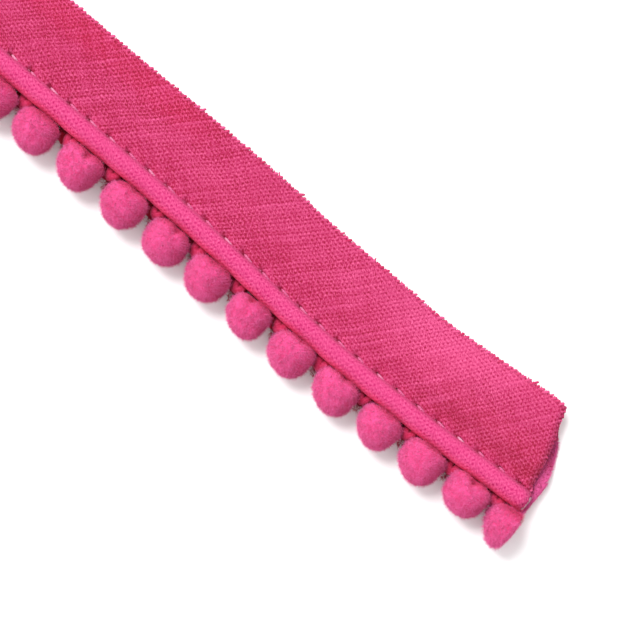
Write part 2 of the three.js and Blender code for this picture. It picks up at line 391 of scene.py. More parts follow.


# Deep pink cotton: a ground with painted light and shade laid over the strip,
# less the weave's pattern of painted shade, with single yarns paler than the
# rest.
def clothMaterial(weaveGroup):
    pale = shade(198, 74, 122)
    looks = {
        "ground": shade(154, 24, 69),
        "bright": pale,
        "weaveShade": shade(93, 49, 67),
        "drawnAndLit": shade(188, 54, 108),
        "paintedGlow": shade(234, 64, 112),
        "swellHighlight": pale,
        "deep": shade(142, 12, 48),
        "plainEndShade": shade(164, 5, 52),
        "sunk": shade(122, 4, 36),
        "darkest": shade(134, 18, 48),
    }
    material, tree = newMaterial("biasCloth", 0.9, 0.05, (1.0, 0.6, 0.8, 1.0))
    calc = functools.partial(mathNode, tree)
    counts, place, slack = threadPlace(tree), objectPlace(tree), attributeNode(tree, "slack")
    woven = addNode(tree, "ShaderNodeGroup", {}, node_tree=weaveGroup)
    tree.links.new(counts, woven.inputs[0])
    fuzz = noiseNode(tree, counts, 2.1, 2.0)
    # how strongly the weave shows changes over the cloth
    strength = remap(tree, noiseNode(tree, place, 150.0, 2.0), 0.36, 0.62, 0.78, 1.0)
    strength = calc("MULTIPLY", strength, slack)
    uneven = calc("MULTIPLY_ADD", woven.outputs["Chance"], 1.25, 0.45)
    uneven = calc("MULTIPLY", woven.outputs["Pattern"], uneven)
    uneven = calc("MULTIPLY_ADD", calc("SUBTRACT", fuzz, 0.5), 7.2, uneven)
    pattern = calc("MULTIPLY", uneven, strength)
    # painted light on the piping and where the flange swells, painted shade in the flange's hollows and
    # towards the plain end
    colour = layTints(tree, looks["ground"], looks, ["drawnAndLit", "paintedGlow", "swellHighlight", "deep", "plainEndShade"])
    warpTone = remap(tree, woven.outputs["Warp Tone"], 0.35, 0.65, 0.0, 0.16)
    weftTone = remap(tree, woven.outputs["Weft Tone"], 0.35, 0.65, 0.0, 0.2)
    slub = remap(tree, woven.outputs["Weft Tone"], 0.6, 0.72, 0.0, 0.18)
    for paler in (calc("ADD", warpTone, weftTone), slub):
        colour = mixColour(tree, calc("MULTIPLY", paler, slack), colour, looks["bright"])
    # colour less the weave's painted shade times the pattern, and never under a dark red
    dark = calc("MULTIPLY", pattern, -1.0)
    colour = vectorNode(tree, "MULTIPLY_ADD", looks["weaveShade"], dark, colour)
    colour = vectorNode(tree, "MAXIMUM", colour, looks["darkest"])
    # painted shade in the needle holes
    colour = layTints(tree, colour, looks, ["sunk"])
    height = calc("MULTIPLY_ADD", noiseNode(tree, place, 9000.0, 2.0), 0.3, woven.outputs["Height"])
    setSurface(tree, colour, height, 0.05)
    return material


# Cut yarn, each end with its own tone, and paler on its loose fibres: a little
# along the raw edge, as loose fibres are, and much at the scissored end, where
# the paleness is painted light that lifts them out of the upper layer's shade.
def yarnEndMaterial():
    looks = {"tone": shade(214, 90, 140), "frayed": shade(224, 98, 164)}
    material, tree = newMaterial("yarnEnds", 0.95, 0.1, (1.0, 0.7, 0.85, 1.0))
    colour = layTints(tree, shade(172, 34, 78), looks, ["tone", "frayed"])
    setSurface(tree, colour, noiseNode(tree, objectPlace(tree), 6000.0, 2.0), 0.05)
    return material


# Soft pile: two pinks mottled together; paler at the fibres' tips, partly as
# loose fibres are and partly as painted light on their shaded sides; painted
# shade, deeper, on the side towards the scissored end, away from the light;
# and painted shade, redder, in partings and under the piping.
def pileMaterial():
    looks = {
        "deep": shade(193, 50, 104),
        "body": shade(208, 70, 128),
        "tip": shade(234, 124, 184),
        "leeShade": shade(160, 16, 62),
        "parting": shade(190, 28, 74),
    }
    material, tree = newMaterial("pompomPile", 1.0, 0.2, (1.0, 0.6, 0.9, 1.0))
    place = objectPlace(tree)
    mottle = noiseNode(tree, place, 1100.0, 3.0, 0.6)
    fine = noiseNode(tree, place, 4200.0, 2.0)
    colour = mixColour(tree, remap(tree, mottle, 0.36, 0.58, 0.0, 1.0), looks["deep"], looks["body"])
    colour = mixColour(tree, remap(tree, fine, 0.3, 0.7, 0.0, 0.4), colour, looks["body"])
    # paler tips, partly painted light; painted shade on the lee side, in the partings and under the piping
    colour = layTints(tree, colour, looks, ["tip", "leeShade", "parting"])
    setSurface(tree, colour, mathNode(tree, "MULTIPLY_ADD", mottle, 0.8, fine), 0.1)
    return material


# Knitted yarn, with painted shade between its stitches, and painted shade,
# deeper and redder, where it shows beside the piping and between the pompoms.
def braidMaterial():
    looks = {"low": shade(146, 14, 48), "shown": shade(160, 10, 42)}
    material, tree = newMaterial("braidYarn", 0.95, 0.12, (1.0, 0.6, 0.75, 1.0))
    fine = noiseNode(tree, objectPlace(tree), 5200.0, 2.0)
    mottle = remap(tree, fine, 0.3, 0.7, 0.0, 1.0)
    colour = mixColour(tree, mottle, shade(178, 34, 80), shade(212, 70, 122))
    # painted shade: low between the stitches, shown beside the piping and between the pompoms
    colour = layTints(tree, colour, looks, ["low", "shown"])
    setSurface(tree, colour, fine, 0.08)
    return material


# Sewing thread with a slanting twist, paler on some stitches than others.
def threadMaterial():
    material, tree = newMaterial("seamThread", 0.6, 0.2, (1.0, 0.9, 0.95, 1.0))
    inputs = {"Scale": 0.9, "Vector": threadPlace(tree)}
    wave = addNode(tree, "ShaderNodeTexWave", inputs, bands_direction="DIAGONAL").outputs["Fac"]
    pale = mixColour(tree, attributeNode(tree, "tone"), shade(200, 90, 138), shade(226, 168, 194))
    twist = remap(tree, wave, 0.0, 1.0, 0.45, 1.0)
    setSurface(tree, mixColour(tree, twist, shade(184, 56, 104), pale), wave, 0.04)
    return material


# Pale yarn with pinker streaks along its plies.
def fillerMaterial():
    material, tree = newMaterial("fillerCord", 0.95, 0.2, (1.0, 0.95, 0.97, 1.0))
    streaks = noiseNode(tree, threadPlace(tree), 3.0, 3.0, 0.6)
    colour = mixColour(tree, streaks, shade(196, 150, 168), shade(226, 206, 214))
    setSurface(tree, colour, streaks, 0.1)
    return material


braid = {
    "thick": 1.06,
    "edge": 2.1,  # seam line to its pompom edge
    "width": 4.0,
    "short": 0.42,  # of the scissor cut
    "stations": 800,
    "wales": 5,  # rows of stitches
    "stitch": 0.92,
    "lag": 0.55,  # of a chevron's arms, in stitches
    "relief": 0.2,
    "swell": 2.3,  # of its pompom edge
    "swellFrom": (1.2, 2.6),  # none and all of it, by distance from a pompom
    "endSwell": 1.2,
    "unevenness": 0.12,
    "nubReach": 2.3,  # of the loops, or nubs, between the pompoms
    "nubShift": 0.28,
    "nubHalfWidth": 0.506,
    "nubTurn": 0.62,  # each way from its tip, in half circles
    "nubYarn": 0.54,
    "nubLevel": 0.75,
    "nubRise": 1.15,
    # painted shade on the loops
    "nubShade": (0.85, 0.45),  # how red it looks at its foot and its tip
    "fuzz": 220,  # loose fibres between two pompoms
    "fuzzSpread": 0.55,
    "fuzzLength": 0.45,
    "fuzzWidth": 0.08,
    # painted shade on the loose fibres between the pompoms, full on those in the slot
    "fuzzShade": 0.65,
    "slotFuzz": 2600,  # and in the slot beside the piping
    "slot": (2.55, 3.3),
}


# The knitted braid: a flat band whose faces carry rows of chevrons, each a
# cosine along the braid that lags with the distance from its row's middle.
def makeBraid(material, pompomPlaces):
    end = cutLine - braid["short"]
    along = np.linspace(-cutLine, end, braid["stations"])[:, None]
    t = np.linspace(0, 1, 31)[None, :]
    # the pompom edge is drawn in at each pompom and swells out between them
    fromPompom = np.abs(along - pompomPlaces[None, :]).min(1)[:, None]
    swell = braid["swell"] * smoothStep(fromPompom, *braid["swellFrom"])
    swell = swell + braid["unevenness"] * ripple(along, 1.1, 31)[:, None]
    swell = np.maximum(swell, braid["endSwell"] * smoothStep(along, cutLine - 1.7, cutLine - 0.9))
    across = -braid["edge"] + braid["width"] * t - swell * (1 - t) ** 2

    def relief(flip):
        place = t * braid["wales"]
        fromRow = np.abs(2 * (place % 1) - 1)
        chevron = np.cos(2 * np.pi * (flip * along / braid["stitch"] + braid["lag"] * fromRow))
        rounded = np.sqrt(np.maximum(1 - fromRow**2, 0))
        return (0.55 + 0.45 * chevron) * (0.3 + 0.7 * rounded)

    edgeRound = np.sqrt(np.clip(1 - np.abs(2 * t - 1) ** 8, 0, 1))
    half = braid["thick"] / 2
    lower = half - half * edgeRound + braid["relief"] * (1 - relief(1)) * edgeRound
    upper = half + half * edgeRound - braid["relief"] * (1 - relief(-1)) * edgeRound
    # the cut end is drawn in a little
    across = across - 0.3 * smoothStep(along, cutLine - 1.0, end) ** 2 * (across + 0.5)
    top = fromSeam(along, across, upper)[:, ::-1]
    sections = merge(fromSeam(along, across, lower), top, axis=1)
    band = stripSurface(sections)
    # painted shade in the low places between the knit's stitches
    low = merge(1 - relief(1), (1 - relief(-1))[:, ::-1], axis=1) * 0.75
    # painted shade, redder, on the band's edge beside the piping
    shown = smoothStep(-seamY(sections), 1.6, 2.4) * smoothStep(sections[..., 2], 0.2, 0.6)

    # a loop of soft yarn stands out midway between each pair of pompoms
    chance = np.random.default_rng(14)
    middle = (pompomPlaces[1:] + pompomPlaces[:-1]) / 2
    middle = middle + chance.normal(braid["nubShift"], 0.12, len(middle))
    each = (len(middle), 1)
    turn = np.linspace(-1, 1, 13)[None, :] * braid["nubTurn"] * np.pi
    bow = 0.45 + 0.55 * np.cos(turn)
    x = middle[:, None] + braid["nubHalfWidth"] * np.sin(turn)
    out = braid["edge"] - braid["nubYarn"] + braid["nubReach"] * chance.uniform(0.92, 1.08, each) * bow
    sway = 0.2 * np.sin(turn + chance.uniform(-1, 1, each))
    path = fromSeam(x, -out, braid["nubLevel"] + braid["nubRise"] * bow + sway)
    radii = np.full(x.shape, braid["nubYarn"]) * chance.uniform(0.85, 1.1, each)
    nubs = tubeSurfaces(path, radii, 10)
    # the loops' painted shade, from their foot to their tip
    tip = np.clip((-seamY(nubs[0]) - braid["edge"] - 0.5) / 0.6, 0, 1)
    foot, peak = braid["nubShade"]

    # loose fibres on the loops and on the edge between the pompoms
    count = braid["fuzz"] * len(middle)
    off = chance.normal(0, braid["fuzzSpread"], count)
    out = braid["edge"] + chance.uniform(0.9, 3.3, count) * bell(off, 1)
    roots = fromSeam(middle.repeat(braid["fuzz"]) + off, -out, chance.uniform(0.3, 1.35, count))
    heading = draws(count, (chance.normal, 0, 0.6), (chance.uniform, 0, 1), (chance.normal, 0.2, 0.4))
    tips = roots + braid["fuzzLength"] * heading * [1, -1, 1]
    tips[:, 2] = np.maximum(tips[:, 2], 0.03)
    # and in the slot
    inSlot = braid["slotFuzz"]
    x = chance.uniform(-cutLine + 0.1, cutLine - 1.6, inSlot)
    slotRoots = fromSeam(x, -chance.uniform(*braid["slot"], inSlot), 0.95)
    rise = draws(inSlot, (chance.normal, 0, 0.25), (chance.normal, 0, 0.12), (chance.uniform, 0.4, 1.3))
    roots, tips = merge(roots, slotRoots), merge(tips, slotRoots + rise)
    fuzz = hairSurfaces(roots, tips, braid["fuzzWidth"], chance)
    # painted shade on the loose fibres, full on those in the slot
    fuzzShade = np.where(np.arange(len(roots)) < count, braid["fuzzShade"], 1)
    parts = [band, nubs, fuzz]
    low = merge(low.ravel(), np.zeros(len(tip) + len(fuzz[0])))
    shown = merge(shown.ravel(), foot + (peak - foot) * tip, fuzzShade.repeat(4))
    return makePiece("pompom_braid_knit", parts, material, "braid", flat=True, low=low, shown=shown)


cloth = {
    "thick": 0.32,
    "pipingRadius": 1.29,  # outside of the cloth round the cord
    "pipingInset": 1.6,  # seam line to the middle of the piping
    "onBraid": 1.26,  # height of the lower layer's middle on the braid
    "onSurface": 0.18,
    "layerPitch": 0.37,
    "edgePitch": 0.5,
    "ramp": (2.1, 4.9),  # where the lower layer comes down, out from the seam
    "rampLag": 0.3,
    "joinAngle": 8.0,  # where the upper layer leaves the piping, above level
    "valley": -0.15,  # where it has levelled out, from the seam
    "crestFall": 0.55,
    "lowerShort": 0.3,
    "edgeTrim": 0.13,  # the woven part stops here, and yarn ends reach past it
    "billow": 0.1,  # slow unevenness of the upper layer
    "pucker": 0.05,  # drawn in at each stitch
    "ease": 0.32,  # rise of the upper layer against the piping, between the holes
}

weave = {
    "weftPitch": 0.474,
    "warpPitch": 0.27,
    "weftAngle": 47.0,  # from the trim's length
    "warpAngle": 41.0,  # the other way
    "wander": 0.2,  # slow straying of the yarns, in yarns
    "tremble": 0.09,
    "skew": 0.0057,  # turn of the wefts towards the scissored end
    "skewStart": 15.0,
    "levelLine": 10.0,  # the yarns are counted from this line, not from the edge
}

stitching = {
    "pitch": 3.004,
    "lastHole": 54.8,
    "across": -0.2,
    "holeDepth": 0.2,
    "holeSize": 0.28,
    "shown": 0.95,  # length of thread that shows after each hole
    "thread": 0.145,  # its radius
    "rise": 0.13,
    "start": 0.16,  # of a stitch past its hole
    "gap": 0.15,  # left free from one stitch to the next
    "slant": 0.08,
    "stray": 0.03,
}

pipingHeight = braid["thick"] + 0.03 + cloth["pipingRadius"]
middleRadius = cloth["pipingRadius"] - cloth["thick"] / 2
holes = np.arange(stitching["lastHole"], -cutLine, -stitching["pitch"])[::-1]


# How far places along the trim are from the needle hole nearest to each.
def nearestHole(along):
    return along - holes[np.abs(np.asarray(along)[..., None] - holes).argmin(-1)]


# Height of the lower layer's middle, which comes down off the braid in a ramp.
def lowerHeight(across):
    left = 1 - smoothStep(across, *cloth["ramp"])
    return cloth["onSurface"] + (cloth["onBraid"] - cloth["onSurface"]) * left


# Height of the upper layer's middle over the flange: the lower layer, the
# pitch between them, a puff that swells as a sine up to its crest and dies
# away past it, slow unevenness that fades out at the seam, and a rise at the
# seam between the needle holes.
def upperHeight(along, across, flange):
    share = np.maximum(across, 0) / flange
    crest = lieAt(along, "crest")
    rising = np.sin(np.pi / 2 * np.minimum(share / crest, 1))
    falling = np.cos(np.pi / 2 * np.clip((share - crest) / cloth["crestFall"], 0, 1)) ** 2
    puff = lieAt(along, "puff") * np.where(share < crest, rising, falling)
    pitch = cloth["layerPitch"] + (cloth["edgePitch"] - cloth["layerPitch"]) * smoothStep(share, 0, 0.5)
    places = np.stack([along, across * 0.7], -1)
    billow = cloth["billow"] * (1 + ripple(places, 13.0, 4)) * smoothStep(share, 0.02, 0.5)
    ease = cloth["ease"] * (1 - 0.9 * bell(nearestHole(along), 0.4)) * bell(across, 0.6)
    return lowerHeight(across - cloth["rampLag"]) + pitch + puff + (billow + ease)


# The strip's section from the upper raw edge to the lower one. Gives, for
# each step, its kind and where it is: 0 upper flange, by share of the way in;
# 1 the drop beside the piping; 2 the round, by angle; 3 the lower flange.
def clothSteps():
    flangeIn = 1 - np.linspace(0, 1, 24, endpoint=False) ** 0.8
    drop = np.linspace(0, 1, 11, endpoint=False)
    join = math.radians(cloth["joinAngle"])
    turn = np.linspace(join, 1.5 * np.pi, 27)
    flangeOut = np.linspace(0, 1, 20)[1:]
    parts = [flangeIn, drop, turn, flangeOut]
    kinds = np.concatenate([np.full(len(part), kind) for kind, part in enumerate(parts)])
    return kinds, np.concatenate(parts)


# Middle surface of the strip for places along it, as stations x steps x 3: the
# upper flange, a cubic down to the piping, a circle round the cord as far as
# its underside, and the lower flange.
def clothMiddle(share):
    kinds, steps = clothSteps()
    isKind = [kinds == kind for kind in range(4)]
    join = math.radians(cloth["joinAngle"])
    inset, radius = cloth["pipingInset"], middleRadius
    share = share[:, None]

    joinAcross = -inset + radius * math.cos(join)
    drop = hermite(cloth["valley"], joinAcross, -0.7, 1.2 * math.sin(join), steps)

    def acrossAt(flange):
        upper = cloth["valley"] + steps * (flange - cloth["edgeTrim"] - cloth["valley"])
        lower = -inset + steps * (flange - cloth["lowerShort"] - cloth["edgeTrim"] + inset)
        return np.select(isKind, [upper, drop, -inset + radius * np.cos(steps), lower])

    upper = (kinds < 2) | (isKind[2] & (steps < np.pi))
    endAcross = acrossAt(lieAt(cutLine, "flange"))
    short = np.where(upper, shortAt(endAcross, "upper"), shortAt(endAcross, "lower"))
    along = -cutLine + share * (2 * cutLine - short)
    flange = lieAt(along, "flange")
    across = acrossAt(flange)
    drawn = bell(nearestHole(along), 0.35)
    pucker = cloth["pucker"] * (1 - 2 * drawn) * np.exp(-((across - stitching["across"]) ** 2) / 0.5)
    level = upperHeight(along, np.full_like(along, cloth["valley"]), flange)
    joinHeight = pipingHeight + radius * math.sin(join)
    height = np.select(
        isKind,
        [
            upperHeight(along, across, flange) + pucker,
            hermite(level, joinHeight, 0.0, 1.2 * math.cos(join), steps) + pucker * (1 - steps),
            pipingHeight + radius * np.sin(np.where(isKind[2], steps, 0)),
            lowerHeight(across) + 0 * along,
        ],
    )
    bulge = np.where(isKind[1], 0.08 * (1 - drawn) * np.sin(np.pi * steps), 0)
    wobble = 0.05 * ripple(np.stack([along, 0 * along], -1), 17.0, 8)
    across = across + bulge + wobble * smoothStep(-across, 0.2, 1.4) * (kinds != 3)
    return fromSeam(along, across, height)


# Distance along the section for the thread counts: from the level line to the
# upper raw edge, and on from there round the piping to the lower one.
def clothFlat(middle):
    stepLengths = np.linalg.norm(np.diff(middle[:, :, 1:], axis=1), axis=-1)
    start = weave["levelLine"] - middle[:, :1, 1]
    return merge(start, start + np.cumsum(stepLengths, axis=1), axis=1)


# Counts of weft and warp yarns at a place on the flat cloth, with slow
# straying. Down is what clothFlat gives.
def threadCounts(along, down):
    weft, warp = math.radians(weave["weftAngle"]), math.radians(weave["warpAngle"])
    places = np.stack([along, down], -1)
    stray = weave["wander"] * ripple(places, 9.0, 21)
    wefts = (along * math.sin(weft) + down * math.cos(weft)) / weave["weftPitch"]
    warps = (along * math.sin(warp) - down * math.cos(warp)) / weave["warpPitch"]
    tremble = weave["tremble"] * ripple(places, 1.6, 22)
    past = np.maximum(along - weave["skewStart"], 0)
    skewed = weave["skew"] * past * (past / 2 - down)
    return np.stack([wefts + stray + tremble + skewed, warps - 1.5 * stray + tremble], -1)


# Places along the strip, closer together at the needle holes.
def clothStations():
    offsets = np.array([-0.3, -0.17, -0.06, 0.06, 0.17, 0.3, 0.6, 1.05, 1.5, 1.95, 2.4])
    places = (holes[:, None] + offsets).ravel()
    places = places[(places > -cutLine + 0.1) & (places < cutLine - 0.1)]
    return (merge([-cutLine], places, [cutLine]) + cutLine) / (2 * cutLine)


# How strongly each look shows on the cloth, and where: distances from the seam
# for those on the piping, and on the flange places along and the share of the
# way to the raw edge. A spot has its strength, then a middle and a spread for
# each of the two.
clothLooks = {
    # partly painted light on the piping and in the seam's valley
    "drawnAndLit": (-0.1, 0.6),
    "crown": (0.1, 0.6),
    "crownEnd": (1.5, 2.5),
    "crownSlack": 0.3,  # less weave shows on the crown of the piping
    # a painted glow on the piping's outer side, where it turns into shade
    "paintedGlow": (1.9, 2.8),
    "paintedGlowSlack": 0.4,
    # painted highlight where the flange swells, from the spots and the swell below
    "swellHighlight": 0.47,
    "swellHighlightMost": 1.2,
    "spots": [(1.0, 38, 10, 0.9, 0.5), (0.3, 1, 7, 0.45, 0.2)],
    "swell": 0.3,
    "swellAlong": (2, 8),
    "swellShare": (0.2, 0.7),
    # painted shade near the seam towards the scissored end
    "deep": 0.65,
    "deepAlong": (36, 48),
    "deepIn": (0.0, 0.1),
    "deepOut": (0.1, 0.8),
    # painted shade over the flange's outer part towards the plain end
    "plainEndShade": 0.42,
    "plainEndShadeAlong": (-4, 4),
    "plainEndShadeShare": (0.5, 0.75),
}


# The cloth strip: half its thickness out to each side of its middle surface,
# square to the section, and dented at each needle hole as a bell curve.
def makeCloth(material):
    middle = clothMiddle(clothStations())
    count = middle.shape[1]
    sideways = np.gradient(middle, axis=1)
    outward = unit(np.stack([0 * sideways[..., 0], sideways[..., 2], -sideways[..., 1]], -1))
    fromEdge = np.minimum(np.arange(count), np.arange(count)[::-1])
    half = cloth["thick"] / 2 * np.interp(fromEdge, [0, 1], [0.6, 1.0])[None, :, None]
    along, across = middle[..., 0], seamY(middle)
    reach = np.hypot(nearestHole(along) * 0.8, (across - stitching["across"]) * 1.1)
    kinds, steps = clothSteps()
    top = ((kinds < 2) | ((kinds == 2) & (steps < 1.1 * np.pi)))[None, :]
    # the dent's bell also marks the painted shade in each needle hole
    sunk = bell(reach, stitching["holeSize"]) * top
    outside = middle + outward * half
    outside[..., 2] -= stitching["holeDepth"] * sunk
    inside = (middle - outward * half)[:, ::-1]
    threads = threadCounts(along, clothFlat(middle))
    share = across / lieAt(along, "flange")

    def grown(name, value):
        return smoothStep(value, *clothLooks[name])

    # paler where the cloth is drawn over the cord, with a fainter weave; the
    # paleness is partly that and partly painted light, which lifts the piping's
    # shaded lower side and the seam's valley
    crown = grown("crown", -across) * (1 - grown("crownEnd", -across)) * top
    # a painted glow, paler and redder, on the piping's outer side where it turns into shade
    paintedGlow = grown("paintedGlow", -across)
    bothSides = {
        "drawnAndLit": grown("drawnAndLit", -across) * top,
        "slack": 1 - clothLooks["crownSlack"] * crown - clothLooks["paintedGlowSlack"] * paintedGlow * top,
        "paintedGlow": paintedGlow,
    }
    # painted highlight where the upper layer swells into the light, and painted
    # shade, deeper, in its hollows
    swell = clothLooks["swell"] * grown("swellAlong", along) * grown("swellShare", share)
    for strength, place, extent, level, spread in clothLooks["spots"]:
        swell = swell + strength * bell(along - place, extent) * bell(share - level, spread)
    # painted shade near the seam towards the scissored end, where the cloth turns from the light
    deep = grown("deepAlong", along) * grown("deepIn", share) * (1 - grown("deepOut", share))
    # painted shade over the flange's outer part towards the plain end
    plainEndShade = (1 - grown("plainEndShadeAlong", along)) * grown("plainEndShadeShare", share)
    outerOnly = {
        "sunk": sunk,
        "swellHighlight": clothLooks["swellHighlight"] * np.clip(swell, 0, clothLooks["swellHighlightMost"]) * (across > 0) * top,
        "deep": clothLooks["deep"] * deep * top,
        "plainEndShade": clothLooks["plainEndShade"] * plainEndShade * top,
    }
    values = {name: merge(mask, mask[:, ::-1], axis=1).ravel() for name, mask in bothSides.items()}
    values |= {name: merge(mask, 0 * mask, axis=1).ravel() for name, mask in outerOnly.items()}
    threads = merge(threads, threads[:, ::-1], axis=1).reshape(-1, 2)
    parts = [stripSurface(merge(outside, inside, axis=1))]
    return makePiece("bias_strip_cloth", parts, material, "cloth", threads=threads, **values)


# Loose fibres at the scissored end of the lower layer and the braid.
fray = {
    "fibres": 4800,
    "across": (-3.3, 6.4),
    "depth": 1.3,
    "onTop": 0.6,  # the share that stands on the layer, not at its cut
    "piping": (-2.7, -2.1),  # and higher past here, on the piping's outer side
    "pipingRise": 0.8,
    "braidEnd": 1.8,  # nearer than this, those at the cut are on the braid
    "length": 0.5,
    "width": 0.06,
    "rim": 4500,  # along the upper raw edge
    "rimLength": 0.38,
    "rimWidth": 0.04,
}

# Yarn ends, by what they count, with their angle, reach and thickness.
yarnEnds = {
    "families": [
        {"column": 0, "angle": -weave["weftAngle"], "reach": 0.36, "radius": 0.18},
        {"column": 1, "angle": weave["warpAngle"], "reach": 0.3, "radius": 0.11},
    ],
    "stray": 0.09,  # of their angles, in radians
    "longShare": 0.03,
    "longer": 0.22,
    "bend": 0.35,
    "lift": 0.15,
    "cutReach": 0.25,  # at the scissored end, where 1 is that of the raw edges
    "plainReach": 0.4,
    "sides": 5,
}


# Yarn ends along one edge: each starts where its thread count says, and runs
# on along the weave, out over the edge, for a short random length. Down is
# the strip's direction across, from the upper raw edge round to the lower.
def edgeYarns(path, down, counts, outward, reach, chance):
    paths, radii, tones = [], [], []
    index = np.arange(len(path))
    for family in yarnEnds["families"]:
        column = counts[:, family["column"]]
        order = np.argsort(column)
        numbers = np.arange(math.ceil(column.min()), math.floor(column.max())) + 0.5
        at = np.interp(numbers, column[order], index[order])
        root = np.stack([np.interp(at, index, path[:, axis]) for axis in range(3)], -1)
        across = np.stack([np.interp(at, index, down[:, axis]) for axis in range(3)], -1)
        angle = math.radians(family["angle"]) + chance.normal(0, yarnEnds["stray"], len(root))
        along, slant = np.cos(angle), np.sin(angle)
        facing = np.sign(along * outward[0] + slant * outward[1])[:, None]
        direction = facing * (along[:, None] * [1.0, 0, 0] + slant[:, None] * across)
        length = reach * family["reach"] * chance.uniform(0.5, 1.1, len(root))
        length += yarnEnds["longer"] * (chance.random(len(root)) < yarnEnds["longShare"])
        share = np.array([-0.5, 0.0, 0.4, 0.8, 1.0])[None, :, None]
        travel = np.where(share < 0, share, share * length[:, None, None])
        beyond = np.maximum(travel, 0)
        bend = chance.normal(0, yarnEnds["bend"], (len(root), 1, 3)) * beyond**2
        lift = chance.normal(0, yarnEnds["lift"], (len(root), 1, 1)) * beyond * [0, 0, 1.0]
        line = root[:, None] + travel * direction[:, None] + bend + lift
        size = family["radius"] * np.array([0.8, 1.0, 1.0, 0.9, 0.5])
        size = size * chance.uniform(0.8, 1.1, (len(root), 1))
        line[..., 2] = np.maximum(line[..., 2], size + 0.01)
        paths.append(line)
        radii.append(size)
        tones.append(np.clip(chance.normal(0.4, 0.2, len(root)), 0, 1))
    return paths, radii, tones


# The yarn ends of all four edges, and loose fibres at the scissored end and
# along the upper raw edge.
def makeYarnEnds(material):
    chance = np.random.default_rng(5)
    middle = clothMiddle(np.linspace(0, 1, 1600))
    counts = threadCounts(middle[..., 0], clothFlat(middle))
    down = unit(np.gradient(middle, axis=1) * [0, 1.0, 1.0])
    edges = [
        (np.s_[:, 0], (0, -1), 1.0),
        (np.s_[:, -1], (0, 1), 1.0),
        (np.s_[-1, :], (1, 0), yarnEnds["cutReach"]),
        (np.s_[0, :], (-1, 0), yarnEnds["plainReach"]),
    ]
    made = [edgeYarns(middle[at], down[at], counts[at], out, reach, chance) for at, out, reach in edges]
    paths, radii, tones = [np.concatenate(sum((edge[part] for edge in made), [])) for part in range(3)]
    yarns = tubeSurfaces(paths, radii, yarnEnds["sides"])

    count = fray["fibres"]
    across = chance.uniform(*fray["across"], count)
    onTop = chance.random(count) < fray["onTop"]
    top = lowerHeight(across) + cloth["thick"] / 2
    top = top + fray["pipingRise"] * (1 - smoothStep(across, *fray["piping"]))
    height = np.where(onTop, top, chance.uniform(0.05, 1, count) * top)
    onBraid = ~onTop & (across < fray["braidEnd"])
    short = np.where(onBraid, braid["short"] + 0.15, shortAt(across, "lower"))
    along = cutLine - short - np.where(onTop, fray["depth"] * chance.uniform(0, 1, count), 0.1)
    roots = fromSeam(along, across, height)
    heading = draws(count, (chance.uniform, 0.2, 1), (chance.normal, 0, 0.45), (chance.normal, 0.1, 0.3))
    tips = roots + heading * (fray["length"] * chance.uniform(0.4, 1.1, (count, 1)))
    tips[:, 2] = np.clip(tips[:, 2], 0.03, top + 0.12)
    # and finer ones all along the upper raw edge
    rim = middle[:, 0][chance.integers(0, len(middle), fray["rim"])]
    rim = rim + chance.normal(0, 0.05, rim.shape) - [0, 0.1, 0]
    heading = draws(len(rim), (chance.normal, 0, 0.5), (chance.uniform, 0.3, 1), (chance.normal, 0, 0.3))
    length = fray["rimLength"] * chance.uniform(0.3, 1, (len(rim), 1)) + [0.0, 0.12, 0.0]
    roots, tips = merge(roots, rim), merge(tips, rim + heading * length)
    atCut = np.arange(len(roots)) < count
    fibres = hairSurfaces(roots, tips, np.where(atCut, fray["width"], fray["rimWidth"])[:, None], chance)
    # paler loose fibres: much at the scissored end, as painted light, a little along the raw edge
    much, little = chance.uniform(0.5, 1, len(roots)), chance.uniform(0, 0.5, len(roots))
    frayed = np.where(atCut, much, little).repeat(4)
    tones = np.repeat(tones, paths.shape[1] * yarnEnds["sides"])
    tone, frayed = merge(tones, np.full(len(frayed), 0.6)), merge(0 * tones, frayed)
    return makePiece("yarn_ends", [yarns, fibres], material, "cloth", flat=True, tone=tone, frayed=frayed)


# Seam stitches: from each hole the thread comes up and lies along the seam in
# a low arc, then sinks into the crease until the next hole. A second thread
# runs along the braid's underside.
def makeStitches(material):
    chance = np.random.default_rng(9)
    start = holes[:-1, None]
    t = np.linspace(0, 1, 13)[None, :]
    gone = t * (stitching["pitch"] - stitching["gap"])
    along = start + stitching["start"] + gone
    shown = stitching["shown"] * chance.uniform(0.8, 1.15, start.shape)
    arc = 1 - (2 * np.minimum(gone / shown, 2) - 1) ** 2
    lift = stitching["rise"] * (np.clip(arc, -1.6, 0.8) + chance.normal(0, 0.12, start.shape))
    slant = stitching["slant"] * (1 - 2 * np.minimum(gone / shown, 1))
    across = stitching["across"] + slant + chance.normal(0, stitching["stray"], start.shape)
    valley = np.full_like(along, cloth["valley"])
    floor = upperHeight(along, valley, lieAt(along, "flange")) + cloth["thick"] / 2
    top = fromSeam(along, across, floor + 0.03 + lift)
    under = fromSeam(along, 0.0, stitching["thread"] + 0.01 + 0.06 * np.sin(np.pi * t) ** 2)
    paths = merge(top, under)
    radii = np.full(paths.shape[:2], stitching["thread"]) * np.interp(t, [0, 0.06, 0.94, 1], [0.6, 1, 1, 0.6])
    sides = 8
    # nine units of the twist's pattern along a stitch, and two round the thread
    lengthwise = np.broadcast_to(t[:, :, None] * 9.0, (*paths.shape[:2], sides))
    around = np.broadcast_to(np.arange(sides) / sides * 2.0, lengthwise.shape)
    threads = np.stack([lengthwise, around], -1).reshape(-1, 2)
    tone = np.tile(chance.uniform(0, 1, len(start)) ** 3, 2).repeat(paths.shape[1] * sides)
    tubes = tubeSurfaces(paths, radii, sides)
    return makePiece("seam_stitches", [tubes], material, "thread", threads=threads, tone=tone)


